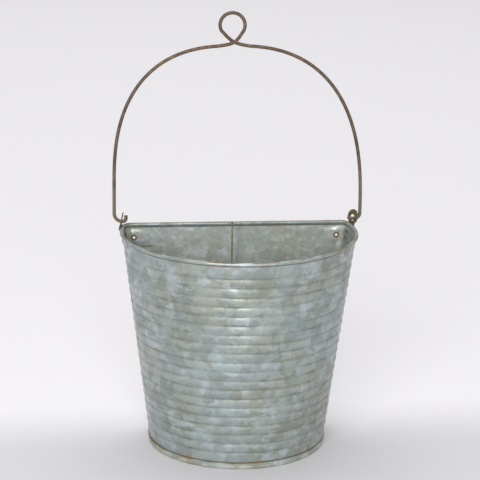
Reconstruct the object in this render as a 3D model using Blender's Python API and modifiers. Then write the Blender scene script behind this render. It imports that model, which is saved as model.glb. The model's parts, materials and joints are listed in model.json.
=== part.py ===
"""Half-round galvanised wall bucket with a ribbed front, a flat back and a wire bail.

Units are metres. +X is to the bucket's right, +Y towards its flat back, +Z up.
The origin is on the cone's axis at the underside of the base.
"""

import math

import bmesh
import bpy
from mathutils import Matrix, Vector

# Driving dimensions
HEIGHT = 0.2214            # floor to the top of the rolled rim
RIM_RADIUS = 0.1200        # outside of the rolled rim
BASE_RADIUS = 0.0903       # outside of the base flange
BACK_Y = 0.0340            # outer face of the flat back, behind the cone's axis
CORNER_RADIUS = 0.0075     # where the round front turns into the flat back
SHEET = 0.0007             # sheet thickness
GAP = 0.0003               # clearance between neighbouring pieces

# Rolled rim
CURL_RADIUS = 0.00115      # hollow inside the curl
CURL_SWEEP = math.radians(274)
RIM_OVERHANG = 0.0020      # how far the rolled rim stands proud of the wall
CURL_STEPS = 7
RIM_WIRE_RADIUS = CURL_RADIUS - GAP

# Horizontal ribs on the round front
RIB_COUNT = 20
RIB_PITCH = 0.0098
LOWEST_GROOVE_Z = 0.0175
GROOVE_DEPTH = 0.0008
RIB_FADE = 0.05            # share of the front's width over which the ribs die out

# Lap seam in the middle of the back
SEAM_X = -0.0035
LAP_WIDTH = 0.0048
LAP_RAMP = 0.0015
LAP_DEPTH = SHEET + GAP
NOTCH_Z = 0.2105           # the lap is cut away above this, under the rolled rim

# Base tray
FLANGE_HEIGHT = 0.0062
FLANGE_OFFSET = SHEET + GAP

# Holes in the back for hanging on two nails
HANG_HOLE_X = 0.1040
HANG_HOLE_Z = 0.2063
HANG_HOLE_RADIUS = 0.0016

# Ears that carry the bail
EAR_THICKNESS = 0.0012
EAR_HALF_WIDTH = 0.0070
EAR_HOLE_RADIUS = 0.0045
EAR_HOLE_ABOVE_RIM = 0.0078
EAR_HEAD_ABOVE_RIM = 0.0082   # centre of the rounded head
EAR_TAIL = -0.0180         # lower end, measured from the rim's centre line
EAR_NECK = -0.0042         # where the ear leaves the wall to pass over the rim
EAR_SHOULDER = 0.0012
EAR_TAPER = 0.0060         # length over which the tail narrows
EAR_TAIL_NARROWING = 0.8   # 1 would bring the tail to a point
TWIST_FROM = 0.0027        # the head is twisted above this height
TWIST_TO = 0.0054
# Each ear: direction of the outward normal where it is riveted, inward lean and
# twist of its head. They are bent by hand, so the two differ.
EARS = {
    "left": (math.radians(168), math.radians(11), math.radians(5)),
    "right": (math.radians(12), math.radians(-11), math.radians(20)),
}

# Rivets through ear and wall
RIVET_DROPS = (-0.0075, -0.0140)
RIVET_HOLE_RADIUS = 0.0015
RIVET_SHANK_RADIUS = RIVET_HOLE_RADIUS - GAP
RIVET_HEAD_RADIUS = 0.0024
RIVET_HEAD_HEIGHT = 0.0012
RIVET_TAIL_RADIUS = 0.0019
RIVET_TAIL_HEIGHT = 0.0006
RIVET_TAIL_GAP = 0.0008
RIVET_TAIL_CHAMFER = 0.7   # flat of the tail's end as a share of its radius

# Bail
BAIL_WIRE_RADIUS = 0.00175
BAIL_AXIS_ABOVE_RIM = 0.0060
BAIL_LEFT_X = -0.1244
BAIL_RIGHT_X = 0.1266
LEFT_LEG = 0.0400
RIGHT_LEG = 0.0120
ARCH_TOP = 0.1790
ARCH_FULLNESS = 2.5        # superellipse exponent of the shoulders
SHOULDER_END = 0.0160      # the shoulders stop this far either side of the crossing
LEFT_BEND = 0.0080
RIGHT_BEND = 0.0054
HOOK_BEND = 0.0028
HOOK_INSET = 0.0047
HOOK_RISE = 0.0060
STUB_INSET = 0.0038
LOOP_CENTRE_X = -0.0068
LOOP_CENTRE_Z = 0.1997
LOOP_RADIUS = 0.0123
CROSSING_X = -0.0054
CROSSING_Z = 0.1827
STRAND_OFFSET = 0.0021     # each strand's shift to front or back where they cross
LOOP_LEAD = 0.75           # share of that shift kept at the loop's own ends
LOOP_START = -28           # the loop's ring runs between these directions, in degrees
LOOP_END = 208

# Numbers of faces
FRONT_SEGMENTS = 24
CORNER_SEGMENTS = 3
RIVET_SIDES = 12
BAIL_SPAN_POINTS = 18
LOOP_POINTS = 20
HOLE_SIDES = 16
HEAD_STEPS = 6
HEAD_LAST = math.radians(86)   # the ear's top is cut flat just short of the round's top
RIVET_DOME = (70, 40, 12)      # heights on the rivet's dome, in degrees
CROSSING_STEPS = 5
CUTTER_DEPTH = 0.006

RIM_Z = HEIGHT - CURL_RADIUS - SHEET
WALL_TOP_RADIUS = RIM_RADIUS - RIM_OVERHANG
CURL_START = RIM_OVERHANG - 2 * CURL_RADIUS - SHEET   # the wall steps inwards to here
WALL_BASE_RADIUS = BASE_RADIUS - FLANGE_OFFSET
FLARE = (WALL_TOP_RADIUS - WALL_BASE_RADIUS) / RIM_Z

PARTS = "wall_bucket"
CUTTERS = "wall_bucket_cutters"

ZINC = ("galvanised_sheet", (0.33, 0.36, 0.34), 0.42, 0.85)
RUSTY_WIRE = ("rusty_wire", (0.12, 0.085, 0.06), 0.62, 0.55)
OLD_STEEL = ("old_steel", (0.17, 0.135, 0.085), 0.6, 0.6)


def clear_scene():
    """Remove every object of the start-up scene."""
    for thing in list(bpy.data.objects):
        bpy.data.objects.remove(thing, do_unlink=True)


def new_collection(name):
    group = bpy.data.collections.new(name)
    bpy.context.scene.collection.children.link(group)
    return group


def material(recipe):
    """A Principled BSDF material from (name, colour, roughness, metallic)."""
    name, colour, roughness, metallic = recipe
    if name in bpy.data.materials:
        return bpy.data.materials[name]
    finish = bpy.data.materials.new(name)
    finish.use_nodes = True
    shader = finish.node_tree.nodes["Principled BSDF"]
    shader.inputs["Base Color"].default_value = (*colour, 1.0)
    shader.inputs["Roughness"].default_value = roughness
    shader.inputs["Metallic"].default_value = metallic
    finish.diffuse_color = (*colour, 1.0)
    return finish


def add_object(name, data, recipe, group=PARTS):
    thing = bpy.data.objects.new(name, data)
    bpy.data.collections[group].objects.link(thing)
    if recipe:
        data.materials.append(material(recipe))
    return thing


def mesh_from_bmesh(name, bm):
    mesh = bpy.data.meshes.new(name)
    bm.to_mesh(mesh)
    bm.free()
    return mesh


# ---------------------------------------------------------------- plan outline

def wall_radius(z):
    """Radius of the wall's outer face at height z."""
    return WALL_BASE_RADIUS + FLARE * z


def corner_centre(radius):
    """Centre of the right corner's fillet between a circle and the flat back."""
    cy = BACK_Y - CORNER_RADIUS
    cx = math.sqrt((radius - CORNER_RADIUS) ** 2 - cy ** 2)
    return cx, cy


def stations():
    """Places along the outline, clockwise from above, as (zone, share of the zone)."""
    places = [("right_back", 0.0), ("right_back", 1.0)]
    places += [("right_corner", i / CORNER_SEGMENTS) for i in range(1, CORNER_SEGMENTS)]
    places += [("front", i / FRONT_SEGMENTS) for i in range(FRONT_SEGMENTS + 1)]
    places += [("left_corner", i / CORNER_SEGMENTS) for i in range(1, CORNER_SEGMENTS)]
    places += [("left_back", 0.0), ("left_back", 1.0)]
    return places


def outline_point(zone, share, radius, seam_x=0.0):
    """Point and outward normal on the outline of the given cone radius."""
    cx, cy = corner_centre(radius)
    turn = math.atan2(cy, cx)
    if zone == "right_back":
        return Vector((seam_x + (cx - seam_x) * share, BACK_Y)), Vector((0, 1))
    if zone == "left_back":
        return Vector((-cx + (seam_x + cx) * share, BACK_Y)), Vector((0, 1))
    if zone == "front":
        angle = turn - (math.pi + 2 * turn) * share
        normal = Vector((math.cos(angle), math.sin(angle)))
        return normal * radius, normal
    if zone == "right_corner":
        angle = math.pi / 2 + (turn - math.pi / 2) * share
        centre = Vector((cx, cy))
    else:
        angle = math.pi - turn + (turn - math.pi / 2) * share
        centre = Vector((-cx, cy))
    normal = Vector((math.cos(angle), math.sin(angle)))
    return centre + normal * CORNER_RADIUS, normal


def support(angle, z):
    """How far the wall's outer face at height z reaches in a horizontal direction."""
    radius = wall_radius(z)
    cx, cy = corner_centre(radius)
    direction = Vector((math.cos(angle), math.sin(angle)))
    if angle <= math.atan2(cy, cx) or angle >= math.pi - math.atan2(cy, cx):
        return radius
    return Vector((math.copysign(cx, direction.x), cy)).dot(direction) + CORNER_RADIUS


def touch_point(angle):
    """Point of the rim's centre line whose outward normal has the given angle."""
    radius = wall_radius(RIM_Z)
    cx, cy = corner_centre(radius)
    direction = Vector((math.cos(angle), math.sin(angle)))
    if angle <= math.atan2(cy, cx) or angle >= math.pi - math.atan2(cy, cx):
        return direction * (radius + CURL_START + CURL_RADIUS)
    corner = Vector((math.copysign(cx, direction.x), cy))
    return corner + direction * (CORNER_RADIUS + CURL_START + CURL_RADIUS)


# ---------------------------------------------------------------- bucket body

def wall_rows():
    """Rows of the wall's outer face from bottom to top: (z, outward shift, groove)."""
    rows = [(SHEET + GAP, 0.0, 0.0)]
    rows.append((LOWEST_GROOVE_Z - RIB_PITCH / 2, 0.0, 0.0))
    for i in range(RIB_COUNT):
        groove_z = LOWEST_GROOVE_Z + i * RIB_PITCH
        rows.append((groove_z, 0.0, GROOVE_DEPTH))
        rows.append((groove_z + RIB_PITCH / 2, 0.0, 0.0))
    rows.append((NOTCH_Z + 2 * LAP_DEPTH, 0.0, 0.0))
    for i in range(CURL_STEPS + 1):
        angle = math.pi - CURL_SWEEP * i / CURL_STEPS
        shift = CURL_START + CURL_RADIUS * (1 + math.cos(angle))
        rows.append((RIM_Z + CURL_RADIUS * math.sin(angle), shift, 0.0))
    return rows


def groove_share(zone, share):
    """1 on the round front, falling to 0 where the front meets the corners."""
    if zone != "front":
        return 0.0
    return min(1.0, min(share, 1.0 - share) / RIB_FADE)


def wall_row_points(z, shift, groove):
    """One row of the body's outer face, from the lap's inner end round to its outer end."""
    above_notch = z > NOTCH_Z
    in_curl = z > NOTCH_Z + 3 * LAP_DEPTH
    radius = wall_radius(min(z, RIM_Z))
    lap = 0.0 if in_curl else LAP_DEPTH
    points = [
        Vector((SEAM_X, BACK_Y + shift - lap, z)),
        Vector((SEAM_X + LAP_WIDTH, BACK_Y + shift - lap, z)),
    ]
    outer_end = SEAM_X - GAP if above_notch else SEAM_X + LAP_WIDTH
    for zone, share in stations():
        seam = SEAM_X + LAP_WIDTH + LAP_RAMP if zone == "right_back" else outer_end
        spot, normal = outline_point(zone, share, radius, seam)
        spot = spot + normal * (shift - groove * groove_share(zone, share))
        points.append(Vector((spot.x, spot.y, z)))
    return points


def loft(name, rows):
    """Open surface through rows of points, facing outwards."""
    bm = bmesh.new()
    rings = [[bm.verts.new(point) for point in row] for row in rows]
    for low, high in zip(rings, rings[1:]):
        for i in range(len(low) - 1):
            bm.faces.new((low[i], high[i], high[i + 1], low[i + 1]))
    return mesh_from_bmesh(name, bm)


def thicken(thing, thickness, offset=-1.0):
    """Give an open surface its thickness."""
    solid = thing.modifiers.new("Thickness", 'SOLIDIFY')
    solid.thickness = thickness
    solid.offset = offset
    solid.use_even_offset = True
    return solid


def cut(thing, cutter):
    knife = thing.modifiers.new("Cut", 'BOOLEAN')
    knife.operation = 'DIFFERENCE'
    knife.object = cutter
    knife.solver = 'EXACT'


def cutter_cylinder(name, radius, depth, matrix):
    """Cylinder along the matrix's Z axis, used only to cut."""
    bm = bmesh.new()
    bmesh.ops.create_cone(bm, cap_ends=True, segments=HOLE_SIDES, radius1=radius, radius2=radius,
                          depth=depth)
    tool = add_object(name, mesh_from_bmesh(name, bm), None, CUTTERS)
    tool.matrix_world = matrix
    tool.hide_render = True
    tool.display_type = 'WIRE'
    return tool


def make_body():
    """One ribbed sheet wrapped round, lapped at the back and rolled over at the rim."""
    rows = [wall_row_points(*row) for row in wall_rows()]
    body = add_object("body_shell", loft("body_shell", rows), ZINC)
    thicken(body, SHEET)
    for label, side in (("left", -1), ("right", 1)):
        place = Matrix.Translation((side * HANG_HOLE_X, BACK_Y, HANG_HOLE_Z))
        turn = Matrix.Rotation(math.radians(90), 4, 'X')
        cut(body, cutter_cylinder("hang_hole_" + label, HANG_HOLE_RADIUS, CUTTER_DEPTH,
                                  place @ turn))
    return body


def make_rim_wire():
    """Stiffening wire inside the rolled rim."""
    radius = wall_radius(RIM_Z)
    curve = bpy.data.curves.new("rim_wire", 'CURVE')
    curve.dimensions = '3D'
    curve.bevel_depth = RIM_WIRE_RADIUS
    curve.bevel_resolution = 2
    places = stations()[1:-1]
    spline = curve.splines.new('POLY')
    spline.points.add(len(places) - 1)
    for point, (zone, share) in zip(spline.points, places):
        spot, normal = outline_point(zone, share, radius)
        spot = spot + normal * (CURL_START + CURL_RADIUS)
        point.co = (spot.x, spot.y, RIM_Z, 1.0)
    spline.use_cyclic_u = True
    add_object("rim_wire", curve, OLD_STEEL)


def make_base():
    """Flat tray whose upturned flange holds the wall's lower edge."""
    bm = bmesh.new()
    rings = []
    for z in (0.0, FLANGE_HEIGHT):
        ring = []
        for zone, share in stations()[1:-1]:
            spot, normal = outline_point(zone, share, wall_radius(z))
            spot = spot + normal * FLANGE_OFFSET
            ring.append(bm.verts.new((spot.x, spot.y, z)))
        rings.append(ring)
    low, high = rings
    for i in range(len(low)):
        j = (i + 1) % len(low)
        bm.faces.new((low[i], high[i], high[j], low[j]))
    bm.faces.new(low)
    base = add_object("base_plate", mesh_from_bmesh("base_plate", bm), ZINC)
    thicken(base, SHEET)


# ---------------------------------------------------------------- ears and rivets

def ear_frame(angle):
    """Frame at the rim's centre line: X outwards, Y along the rim, Z up."""
    spot = touch_point(angle)
    turn = Matrix.Rotation(angle, 4, 'Z')
    return Matrix.Translation((spot.x, spot.y, RIM_Z)) @ turn


def wall_shift(angle, drop):
    """Outward place of the wall's outer face in the ear's frame, at a height below the rim."""
    reach = touch_point(angle).dot(Vector((math.cos(angle), math.sin(angle))))
    return support(angle, RIM_Z + drop) - reach


def ear_profile(angle, lean):
    """Centre line of the ear's side view as (outward, up), from its tail to its top."""
    over_rim = CURL_RADIUS + SHEET + GAP + EAR_THICKNESS / 2
    on_wall = GAP + EAR_THICKNESS / 2
    top = EAR_HEAD_ABOVE_RIM + EAR_HALF_WIDTH
    return [
        (wall_shift(angle, EAR_TAIL) + on_wall, EAR_TAIL),
        (wall_shift(angle, EAR_NECK) + on_wall, EAR_NECK),
        (over_rim, -EAR_SHOULDER),
        (over_rim, EAR_SHOULDER),
        (over_rim - (top - EAR_SHOULDER) * math.tan(lean), top),
    ]


def profile_at(profile, up):
    """Outward place of a side view at a height."""
    for (out_a, up_a), (out_b, up_b) in zip(profile, profile[1:]):
        if up <= up_b:
            return out_a + (out_b - out_a) * (up - up_a) / (up_b - up_a)
    return profile[-1][0]


def ear_half_width(up):
    """Half of the ear's width: a round head, a straight shank and a tapered tail."""
    head = EAR_HEAD_ABOVE_RIM
    if up > head:
        return math.sqrt(max(EAR_HALF_WIDTH ** 2 - (up - head) ** 2, 0.0))
    into_tail = EAR_TAIL + EAR_TAPER - up
    if into_tail > 0:
        return EAR_HALF_WIDTH * math.sqrt(1 - EAR_TAIL_NARROWING * (into_tail / EAR_TAPER) ** 2)
    return EAR_HALF_WIDTH


def make_ear(label, angle, lean, twist):
    """Riveted sheet ear, joggled out over the rim, with a loose hole for the bail."""
    profile = ear_profile(angle, lean)
    heights = [EAR_TAIL, EAR_TAIL + EAR_TAPER / 3, EAR_TAIL + EAR_TAPER]
    heights += [up for _, up in profile[1:-1]]
    heights += [TWIST_FROM, (TWIST_FROM + TWIST_TO) / 2, TWIST_TO, EAR_HEAD_ABOVE_RIM]
    heights += [EAR_HEAD_ABOVE_RIM + EAR_HALF_WIDTH * math.sin(HEAD_LAST * i / HEAD_STEPS)
                for i in range(1, HEAD_STEPS + 1)]
    rows = []
    for up in heights:
        half = ear_half_width(up)
        turned = twist * min(max((up - TWIST_FROM) / (TWIST_TO - TWIST_FROM), 0.0), 1.0)
        across = Vector((-math.sin(turned), math.cos(turned), 0)) * half
        middle = Vector((profile_at(profile, up), 0, up))
        rows.append([middle + across, middle - across])
    ear = add_object("ear_" + label, loft("ear_" + label, rows), OLD_STEEL)
    ear.matrix_world = ear_frame(angle)
    thicken(ear, EAR_THICKNESS, 0.0)
    hole = Matrix.Translation((profile_at(profile, EAR_HOLE_ABOVE_RIM), 0, EAR_HOLE_ABOVE_RIM))
    hole = hole @ Matrix.Rotation(twist, 4, 'Z')
    hole = hole @ Matrix.Rotation(math.radians(90) - lean, 4, 'Y')
    cut(ear, cutter_cylinder("ear_hole_" + label, EAR_HOLE_RADIUS, CUTTER_DEPTH,
                             ear_frame(angle) @ hole))
    return ear


def rivet_mesh(name):
    """Domed rivet: head outside, shank through ear and wall, flattened tail inside."""
    grip = EAR_THICKNESS + SHEET + 2 * GAP + RIVET_TAIL_GAP
    profile = [(0.0, RIVET_HEAD_HEIGHT)]
    for degrees in RIVET_DOME:
        angle = math.radians(degrees)
        profile.append((RIVET_HEAD_RADIUS * math.cos(angle), RIVET_HEAD_HEIGHT * math.sin(angle)))
    profile += [
        (RIVET_HEAD_RADIUS, 0.0),
        (RIVET_SHANK_RADIUS, 0.0),
        (RIVET_SHANK_RADIUS, -grip),
        (RIVET_TAIL_RADIUS, -grip),
        (RIVET_TAIL_RADIUS * RIVET_TAIL_CHAMFER, -grip - RIVET_TAIL_HEIGHT),
        (0.0, -grip - RIVET_TAIL_HEIGHT),
    ]
    bm = bmesh.new()
    spots = [bm.verts.new((r, 0.0, z)) for r, z in profile]
    for first, second in zip(spots, spots[1:]):
        bm.edges.new((first, second))
    return mesh_from_bmesh(name, bm)


def make_rivets(label, angle, body, ear):
    """Two rivets under each other, with a clearance hole through ear and wall."""
    frame = ear_frame(angle)
    slope = math.atan((wall_shift(angle, EAR_TAIL) - wall_shift(angle, 0.0)) / EAR_TAIL)
    for number, drop in enumerate(RIVET_DROPS, start=1):
        seat = wall_shift(angle, drop) + 2 * GAP + EAR_THICKNESS
        place = Matrix.Translation((seat, 0, drop))
        turn = Matrix.Rotation(math.radians(90) + slope, 4, 'Y')
        matrix = frame @ place @ turn
        name = "rivet_%s_%d" % (label, number)
        rivet = add_object(name, rivet_mesh(name), OLD_STEEL)
        rivet.matrix_world = matrix
        turned = rivet.modifiers.new("Turned", 'SCREW')
        turned.axis = 'Z'
        turned.steps = RIVET_SIDES
        turned.render_steps = RIVET_SIDES
        turned.use_merge_vertices = True
        turned.merge_threshold = 0.00001
        hole = cutter_cylinder(name + "_hole", RIVET_HOLE_RADIUS, 2 * CUTTER_DEPTH, matrix)
        cut(body, hole)
        cut(ear, hole)


# ---------------------------------------------------------------- bail

def arc(centre_x, centre_z, radius, start, end, steps):
    """Points (x, 0, z) on an arc from one angle to another, in degrees."""
    points = []
    for i in range(steps + 1):
        angle = math.radians(start + (end - start) * i / steps)
        points.append(Vector((centre_x + radius * math.cos(angle), 0.0,
                              centre_z + radius * math.sin(angle))))
    return points


def smooth_span(points, steps):
    """Catmull-Rom curve through the inner points; the two end points only steer it."""
    curve = []
    for a, b, c, d in zip(points, points[1:], points[2:], points[3:]):
        for i in range(steps):
            t = i / steps
            curve.append(0.5 * (2 * b + (c - a) * t + (2 * a - 5 * b + 4 * c - d) * t * t
                                + (3 * b - a - 3 * c + d) * t * t * t))
    curve.append(points[-2])
    return curve


def left_hook(hole_x):
    """Left end, turned up inside the ear, from its cut tip to the foot of the leg."""
    tip_x = hole_x + HOOK_INSET
    foot_x = BAIL_LEFT_X + LEFT_BEND
    inner = [Vector((tip_x, 0, HOOK_RISE))]
    inner += arc(tip_x - HOOK_BEND, HOOK_BEND, HOOK_BEND, 0, -90, 4)
    return inner + arc(foot_x, LEFT_BEND, LEFT_BEND, -90, -180, 5)


def right_stub(hole_x):
    """Right end, cut off just inside the ear, from its tip to the foot of the leg."""
    foot_x = BAIL_RIGHT_X - RIGHT_BEND
    tip = Vector((hole_x - STUB_INSET, 0, 0))
    return [tip] + arc(foot_x, RIGHT_BEND, RIGHT_BEND, -90, 0, 5)


def shoulder(leg_x, leg):
    """Quarter of a superellipse from the top of a leg to just short of the crossing."""
    span = leg_x - CROSSING_X
    last = math.acos(abs(SHOULDER_END / span) ** (ARCH_FULLNESS / 2))
    points = []
    for i in range(BAIL_SPAN_POINTS + 1):
        angle = last * i / BAIL_SPAN_POINTS
        x = CROSSING_X + span * math.cos(angle) ** (2 / ARCH_FULLNESS)
        z = leg + (ARCH_TOP - leg) * math.sin(angle) ** (2 / ARCH_FULLNESS)
        points.append(Vector((x, 0, z)))
    return points


def hanging_loop(left_end, left_before, right_end, right_before):
    """The bail's top: both strands cross and make a ring, the left one in front."""
    ring = arc(LOOP_CENTRE_X, LOOP_CENTRE_Z, LOOP_RADIUS, LOOP_START, LOOP_END,
               LOOP_POINTS)
    for i, point in enumerate(ring):
        share = i / LOOP_POINTS
        point.y = STRAND_OFFSET * (2 * share - 1) * LOOP_LEAD
    crossing_front = Vector((CROSSING_X, -STRAND_OFFSET, CROSSING_Z))
    crossing_back = Vector((CROSSING_X, STRAND_OFFSET, CROSSING_Z))
    rise = smooth_span([left_before, left_end, crossing_front, ring[0], ring[1]],
                       CROSSING_STEPS)
    fall = smooth_span([ring[-2], ring[-1], crossing_back, right_end, right_before],
                       CROSSING_STEPS)
    return rise[1:-1] + ring + fall[1:-1]


def hole_centre(label):
    """Where the bail's axis crosses an ear, in the bucket's frame."""
    angle, lean, _ = EARS[label]
    out = profile_at(ear_profile(angle, lean), BAIL_AXIS_ABOVE_RIM)
    return ear_frame(angle) @ Vector((out, 0, BAIL_AXIS_ABOVE_RIM))


def bail_points(left_hole_x, right_hole_x):
    """Centre line of the bail in its hinge's frame, from the left tip to the right tip."""
    left = left_hook(left_hole_x)
    right = right_stub(right_hole_x)
    left_arch = shoulder(BAIL_LEFT_X, LEFT_LEG)
    right_arch = shoulder(BAIL_RIGHT_X, RIGHT_LEG)
    loop = hanging_loop(left_arch[-1], left_arch[-2], right_arch[-1], right_arch[-2])
    return left + left_arch + loop + right_arch[::-1] + right[::-1]


def make_bail():
    """Swinging wire bail with hooked ends and a hanging loop, hinged along X."""
    left = hole_centre("left")
    right = hole_centre("right")
    hinge = bpy.data.objects.new("bail_hinge", None)
    bpy.data.collections[PARTS].objects.link(hinge)
    hinge.location = (0, (left.y + right.y) / 2, left.z)
    curve = bpy.data.curves.new("bail_handle", 'CURVE')
    curve.dimensions = '3D'
    curve.bevel_depth = BAIL_WIRE_RADIUS
    curve.bevel_resolution = 2
    curve.use_fill_caps = True
    points = bail_points(left.x, right.x)
    spline = curve.splines.new('POLY')
    spline.points.add(len(points) - 1)
    for point, spot in zip(spline.points, points):
        point.co = (*spot, 1.0)
    bail = add_object("bail_handle", curve, RUSTY_WIRE)
    bail.parent = hinge


def build():
    clear_scene()
    new_collection(PARTS)
    new_collection(CUTTERS)
    body = make_body()
    make_rim_wire()
    make_base()
    for label, (angle, lean, twist) in EARS.items():
        ear = make_ear(label, angle, lean, twist)
        make_rivets(label, angle, body, ear)
    make_bail()


build()
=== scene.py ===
"""Looks of a half-round galvanised florist bucket with a ribbed front and a wire bail.

Units are metres. +X is to the bucket's right, +Y towards its flat back, +Z up.
The origin is on the cone's axis at the underside of the base.
"""

import json
import math

import bmesh
import bpy
from bpy.props import FloatProperty, FloatVectorProperty, IntProperty, PointerProperty
from mathutils import Matrix, Vector


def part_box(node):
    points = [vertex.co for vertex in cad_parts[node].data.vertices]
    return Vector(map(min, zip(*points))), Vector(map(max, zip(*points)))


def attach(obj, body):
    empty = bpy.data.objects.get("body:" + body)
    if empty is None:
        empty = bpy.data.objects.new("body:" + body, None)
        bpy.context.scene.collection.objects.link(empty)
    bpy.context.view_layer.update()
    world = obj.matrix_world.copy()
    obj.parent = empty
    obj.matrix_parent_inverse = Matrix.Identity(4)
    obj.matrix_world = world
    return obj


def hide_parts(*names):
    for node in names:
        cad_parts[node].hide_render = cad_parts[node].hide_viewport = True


bl_info = {
    "name": "Florist Bucket",
    "version": (1, 0, 0),
    "blender": (4, 5, 0),
    "location": "3D View > Sidebar > Bucket",
    "description": "Builds a weathered half-round zinc bucket with a rusty wire bail",
    "category": "Object",
}

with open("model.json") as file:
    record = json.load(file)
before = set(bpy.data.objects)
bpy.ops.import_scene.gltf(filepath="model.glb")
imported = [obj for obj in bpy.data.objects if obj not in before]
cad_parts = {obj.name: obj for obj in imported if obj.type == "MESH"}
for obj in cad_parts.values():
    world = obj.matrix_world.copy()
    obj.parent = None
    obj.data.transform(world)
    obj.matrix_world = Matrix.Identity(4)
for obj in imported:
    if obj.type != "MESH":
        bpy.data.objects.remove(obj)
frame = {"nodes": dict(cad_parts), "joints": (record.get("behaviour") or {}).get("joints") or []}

# Sizes read from the frame
WALL_LOW, WALL_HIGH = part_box("body_shell")
BASE_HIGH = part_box("base_plate")[1]
HINGE = Vector(frame["joints"][0]["pos_m"])

# Sheet and wall
SHEET = 0.0007
GAP = 0.0003
HEIGHT = WALL_HIGH.z
RIM_RADIUS = -WALL_LOW.y
RIM_OVERHANG = 0.0020
CURL_RADIUS = 0.00115
CURL_SWEEP = math.radians(274)
CURL_STEPS = 18
CURL_START = RIM_OVERHANG - 2 * CURL_RADIUS - SHEET
RIM_Z = HEIGHT - CURL_RADIUS - SHEET
FLANGE_OFFSET = SHEET + GAP
FLANGE_HEIGHT = BASE_HIGH.z
BACK_Y = BASE_HIGH.y - FLANGE_OFFSET
CORNER_RADIUS = 0.0075
WALL_TOP_RADIUS = RIM_RADIUS - RIM_OVERHANG
WALL_BASE_RADIUS = 0.0893
FLARE = (WALL_TOP_RADIUS - WALL_BASE_RADIUS) / RIM_Z
RIB_FADE = 0.05

# Lap seam in the middle of the back
SEAM_X = -0.0035
LAP_WIDTH = 0.0048
LAP_RAMP = 0.0015
LAP_DEPTH = SHEET + GAP
NOTCH_Z = 0.2168

# Nail holes in pressed bosses
HANG_HOLE_X = 0.1040
HANG_HOLE_Z = 0.2063
HANG_HOLE_RADIUS = 0.0013
BOSS_TOP_RADIUS = 0.0048
BOSS_RADIUS = 0.0088
BOSS_DEPTH = 0.0014

# Groove: shares of its depth in its rounded and its narrow part, and the narrow part's power
ROUNDED_SHARE = 0.62
NARROW_SHARE = 0.38
NARROW_POWER = 4.0

# Base tray: bend of its foot, heights on its flange, and steps in from its edge
TRAY_BEND = 0.0013
TRAY_BEND_STEPS = (0, 22, 45, 68, 90)
TRAY_HEIGHTS = (0.0030, FLANGE_HEIGHT - 0.0010, FLANGE_HEIGHT)
TRAY_INSETS = (0.030, 0.012, 0.004)

# Ears: direction of the outward normal, inward lean and twist of the head
EARS = {
    "left": (math.radians(168), math.radians(11), math.radians(5)),
    "right": (math.radians(12), math.radians(-11), math.radians(20)),
}
EAR_THICKNESS = 0.0012
EAR_HALF_WIDTH = 0.0070
EAR_HOLE_RADIUS = 0.0036
EAR_HOLE_ABOVE_RIM = 0.0068
EAR_HEAD_ABOVE_RIM = 0.0082
EAR_TAIL = -0.0180
EAR_NECK = -0.0042
EAR_SHOULDER = 0.0012
EAR_TAPER = 0.0060
EAR_TAIL_NARROWING = 0.8
EAR_BEND = 0.0011
TWIST_FROM = 0.0022
TWIST_TO = 0.0046
EAR_EDGE = 0.00022

# Rivets
RIVET_DROPS = (-0.0075, -0.0140)
RIVET_HEAD_RADIUS = 0.0024
RIVET_HEAD_HEIGHT = 0.0012
RIVET_SHANK_RADIUS = 0.0012
RIVET_TAIL_RADIUS = 0.0019
RIVET_TAIL_HEIGHT = 0.0006
RIVET_TAIL_GAP = 0.0008

# Bail, in the hinge's frame
BAIL_AXIS_ABOVE_RIM = 0.0060
BAIL_LEFT_X = -0.1244
BAIL_RIGHT_X = 0.1266
LEFT_LEG = 0.0400
RIGHT_LEG = 0.0120
ARCH_TOP = 0.1790
ARCH_FULLNESS = 2.5
SHOULDER_END = 0.0160
LEFT_BEND = 0.0080
RIGHT_BEND = 0.0054
HOOK_BEND = 0.0028
HOOK_INSET = 0.0047
HOOK_RISE = 0.0060
STUB_INSET = 0.0038
LOOP_CENTRE_X = -0.0068
LOOP_CENTRE_Z = 0.1997
LOOP_RADIUS = 0.0123
CROSSING_X = -0.0054
CROSSING_Z = 0.1827
STRAND_OFFSET = 0.0021
LOOP_LEAD = 0.75
LOOP_START = -28
LOOP_END = 208

# Numbers of faces
FRONT_SEGMENTS = 104
CORNER_SEGMENTS = 8
BACK_SEGMENTS = 14
BOSS_SEGMENTS = 22
STEPS_IN_A_RIB = (0.0, 0.05, 0.12, 0.24, 0.5, 0.76, 0.88, 0.95)
SHOULDER_POINTS = 60
LOOP_POINTS = 64

# Camera: where it stands around the bucket and what it looks at
CAMERA_DISTANCE = 2.0
CAMERA_TURN = math.radians(6.2)
CAMERA_ELEVATION = math.radians(15.606)
CAMERA_ROLL = math.radians(0.85)
CAMERA_LENS = 148.9
CAMERA_ASIDE = 0.00103
CAMERA_AIM_Z = 0.2112

# Stage: half of the floor's width, world light, and softboxes as
# (name, place, what it points at, size, power in watts)
FLOOR_HALF = 6.0
WORLD_COLOUR = (0.99, 0.98, 1.0, 1.0)
WORLD_STRENGTH = 0.48
SOFTBOXES = (
    ("front_softbox", (-0.45, -1.9, 1.05), (0, 0, 0.15), (1.3, 0.9), 29.0),
    ("low_softbox", (-0.12, -2.1, 0.32), (0, 0, 0.06), (0.9, 0.5), 7.0),
    ("top_softbox", (0.0, 1.9, 3.6), (0, 1.9, 0.0), (5.0, 5.0), 98.0),
)
# Paper colours: painted light behind the bucket and painted shade in front of it
PAPER_BEHIND_PAINTED_LIGHT = (0.835, 0.825, 0.845)
PAPER_IN_FRONT_PAINTED_SHADE = (0.645, 0.637, 0.653)

# Thin rust stain beside the left nail hole
STAIN_X = -0.0905
STAIN_Z = 0.1966
STAIN_HALF_WIDTH = 0.0080
STAIN_HALF_HEIGHT = 0.0013
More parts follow.
